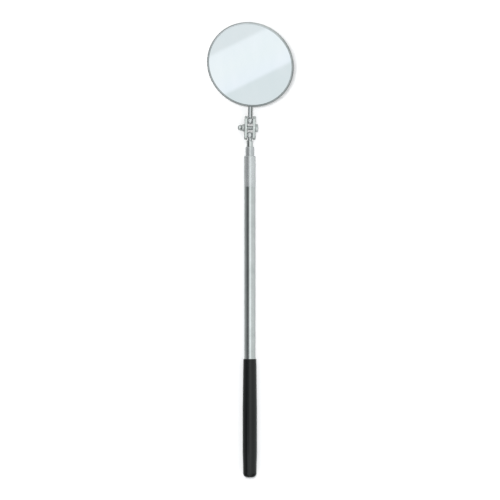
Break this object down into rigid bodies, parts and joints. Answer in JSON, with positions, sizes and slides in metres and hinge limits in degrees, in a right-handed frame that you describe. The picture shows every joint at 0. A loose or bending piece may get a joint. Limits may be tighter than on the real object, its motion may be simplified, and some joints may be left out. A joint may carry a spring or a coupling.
{
  "type": "telescoping inspection mirror",
  "caption": "Round glass mirror in a pressed case, on a ball clamp at the end of a telescoping chromed tube with a vinyl grip.",
  "frame": {"origin": "on the tool's centreline, in the middle of the grip's parallel barrel", "axes": "+Y along the closed tubes towards the mirror, +Z the way the mirror faces when the tool lies on a table, +X to the right"},
  "size_m": [0.0561, 0.2952, 0.0334],
  "materials": {
    "grip_vinyl": "smooth dipped vinyl, slightly glossy",
    "tube_chrome": "bright chrome plating",
    "collar_chrome": "bright chrome plating",
    "middle_chrome": "bright chrome plating, finely rubbed lengthwise",
    "inner_chrome": "bright chrome plating",
    "clamp_chrome": "plated steel with rounded edges",
    "screw_chrome": "plated steel",
    "stem_chrome": "bright plated steel",
    "case_chrome": "bright plated pressed steel",
    "ball_steel": "ground steel",
    "washer_steel": "zinc plated",
    "rivet_steel": "zinc plated",
    "bush_brass": "turned brass",
    "spring_bronze": "rolled spring bronze",
    "plug_plastic": "moulded",
    "pad_board": "grey-brown board",
    "mirror": "silvered float glass"
  },
  "bodies": {
    "handle": {"grip": "grip_vinyl", "outer_tube": "tube_chrome", "end_plug": "plug_plastic", "mouth_collar": "collar_chrome", "guide_bush": "bush_brass"},
    "middle_sleeve": {"middle_friction_sleeve": "spring_bronze"},
    "middle_stage": {"middle_tube": "middle_chrome", "middle_end_bush": "bush_brass", "middle_mouth_bush": "bush_brass"},
    "inner_sleeve": {"inner_friction_sleeve": "spring_bronze"},
    "inner_stage": {"inner_tube": "inner_chrome", "inner_end_bush": "bush_brass", "ball_stud": "inner_chrome"},
    "lower_ball": {"lower_ball": "ball_steel"},
    "clamp": {"clamp_plate_right": "clamp_chrome", "lock_washer": "washer_steel", "clamp_nut": "clamp_chrome"},
    "left_plate": {"clamp_plate_left": "clamp_chrome", "flat_washer": "washer_steel"},
    "thumb_screw": {"thumb_screw": "screw_chrome"},
    "upper_ball": {"upper_ball": "ball_steel"},
    "mirror_head": {"mirror_stem": "stem_chrome", "stem_rivets": "rivet_steel", "mirror_case": "case_chrome", "cushion_pad": "pad_board", "mirror_glass": "mirror"}
  },
  "joints": [
    {"name": "middle_slide", "type": "slide", "parent": "handle", "child": "middle_sleeve", "axis": [0, 1, 0], "range_m": [0, 0.165]},
    {"name": "middle_turn", "type": "hinge", "parent": "middle_sleeve", "child": "middle_stage", "pos_m": [0, 0, 0], "axis": [0, 1, 0], "continuous": true},
    {"name": "inner_slide", "type": "slide", "parent": "middle_stage", "child": "inner_sleeve", "axis": [0, 1, 0], "range_m": [0, 0.165]},
    {"name": "inner_turn", "type": "hinge", "parent": "inner_sleeve", "child": "inner_stage", "pos_m": [0, 0, 0], "axis": [0, 1, 0], "continuous": true},
    {"name": "clamp_side_tilt", "type": "hinge", "parent": "inner_stage", "child": "lower_ball", "pos_m": [0, 0.193, 0], "axis": [0, 0, 1], "range_deg": [-6.5, 9.5]},
    {"name": "clamp_swing", "type": "hinge", "parent": "lower_ball", "child": "clamp", "pos_m": [0, 0.193, 0], "axis": [0.9997, -0.0262, 0], "range_deg": [-50, 50]},
    {"name": "plate_release", "type": "slide", "parent": "clamp", "child": "left_plate", "axis": [-0.9997, 0.0262, 0], "range_m": [0, 0.0004]},
    {"name": "thumb_screw_turn", "type": "hinge", "parent": "left_plate", "child": "thumb_screw", "pos_m": [0.00012, 0.1977, 0], "axis": [-0.9997, 0.0262, 0], "range_deg": [0, 228]},
    {"name": "mirror_swing", "type": "hinge", "parent": "clamp", "child": "upper_ball", "pos_m": [0.00025, 0.2024, 0], "axis": [0.9997, -0.0262, 0], "range_deg": [-106, 64]},
    {"name": "mirror_roll", "type": "hinge", "parent": "upper_ball", "child": "mirror_head", "pos_m": [0.00025, 0.2024, 0], "axis": [0.0196, 0.9346, 0.3551], "continuous": true}
  ],
  "couplings": [
    {"joint": "thumb_screw_turn", "follows": "plate_release", "rad_per_m": 9894.8}
  ]
}
